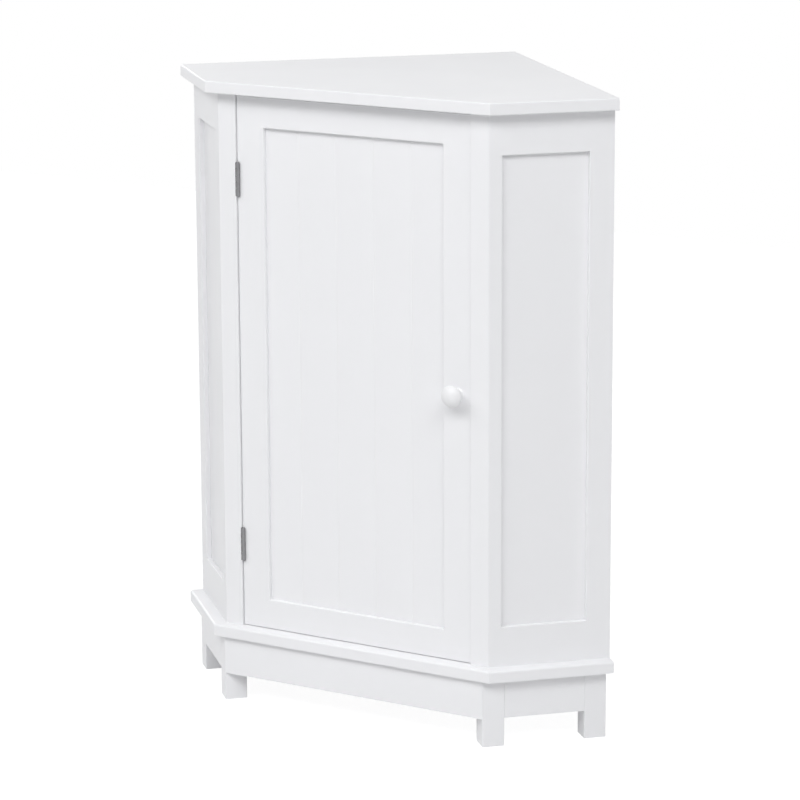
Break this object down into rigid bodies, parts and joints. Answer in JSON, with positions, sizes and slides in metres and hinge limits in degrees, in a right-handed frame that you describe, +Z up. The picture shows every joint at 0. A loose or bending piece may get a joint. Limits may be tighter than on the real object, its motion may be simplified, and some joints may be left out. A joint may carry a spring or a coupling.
{
  "type": "corner bathroom cabinet",
  "caption": "White corner cabinet with a slanted front, one inset framed door with a grooved panel and a round knob, framed side panels, an adjustable shelf and a footed plinth.",
  "frame": {"origin": "on the floor under the middle of the part's box, so the feet stand at z = 0", "axes": "+Z up; the door faces -Y and the room corner points to +Y; +X is to the right as seen from the front. The two back faces lie at 45 degrees, against the room's walls."},
  "size_m": [0.6294, 0.4354, 0.8],
  "materials": {
    "case_paint": "board with a sprayed white satin paint, slightly uneven as a sprayed coat is",
    "door_paint": "board with a sprayed white satin paint",
    "plinth_paint": "board with a sprayed white satin paint",
    "inside_paint": "board with a thinner, flatter white paint, as on inner faces",
    "knob_enamel": "turned wood with a smooth white enamel",
    "hinge_steel": "dull nickel-plated steel",
    "zinc_hardware": "zinc-plated steel",
    "plate_steel": "plain sheet steel",
    "beech": "bare fluted beech",
    "white_plastic": "moulded white plastic",
    "ferrite": "dark grey ferrite magnet"
  },
  "bodies": {
    "cabinet": {"apron_dowels": "beech", "apron_front": "plinth_paint", "apron_left": "plinth_paint", "apron_right": "plinth_paint", "back_panel_left": "inside_paint", "back_panel_right": "inside_paint", "base_board": "plinth_paint", "base_screws": "zinc_hardware", "batten_screws": "zinc_hardware", "cam_bolts": "zinc_hardware", "cam_discs": "zinc_hardware", "case_dowels": "beech", "catch_housing": "white_plastic", "catch_magnet": "ferrite", "catch_poles": "plate_steel", "catch_screws": "zinc_hardware", "cleat_front": "inside_paint", "cleat_left": "inside_paint", "cleat_right": "inside_paint", "cleat_screws": "zinc_hardware", "corner_batten": "inside_paint", "foot_front_left": "plinth_paint", "foot_front_right": "plinth_paint", "foot_rear": "plinth_paint", "foot_screws": "zinc_hardware", "foot_wall_left": "plinth_paint", "foot_wall_right": "plinth_paint", "front_post_left": "case_paint", "front_post_right": "case_paint", "hinge_pin_lower": "hinge_steel", "hinge_pin_upper": "hinge_steel", "hinge_post_leaf_lower": "hinge_steel", "hinge_post_leaf_upper": "hinge_steel", "hinge_post_screws": "zinc_hardware", "shelf_pegs": "zinc_hardware", "side_bottom_rail_left": "case_paint", "side_bottom_rail_right": "case_paint", "side_panel_left": "case_paint", "side_panel_right": "case_paint", "side_top_rail_left": "case_paint", "side_top_rail_right": "case_paint", "top_board": "case_paint", "wall_stile_left": "case_paint", "wall_stile_right": "case_paint"},
    "door": {"door_stile_hinge": "door_paint", "door_stile_knob": "door_paint", "door_rail_top": "door_paint", "door_rail_bottom": "door_paint", "door_panel": "door_paint", "door_knob": "knob_enamel", "knob_screw": "zinc_hardware", "strike_plate": "plate_steel", "strike_screws": "zinc_hardware", "hinge_door_leaf_lower": "hinge_steel", "hinge_door_leaf_upper": "hinge_steel", "hinge_door_screws": "zinc_hardware"},
    "shelf": {"shelf": "inside_paint"}
  },
  "joints": [
    {"name": "door_swing", "type": "hinge", "parent": "cabinet", "child": "door", "pos_m": [-0.16383, -0.19488, 0.443], "axis": [0, 0, -1], "range_deg": [0, 160]},
    {"name": "shelf_lift", "type": "slide", "parent": "cabinet", "child": "shelf", "axis": [0, 0, 1], "range_m": [0, 0.03]}
  ]
}
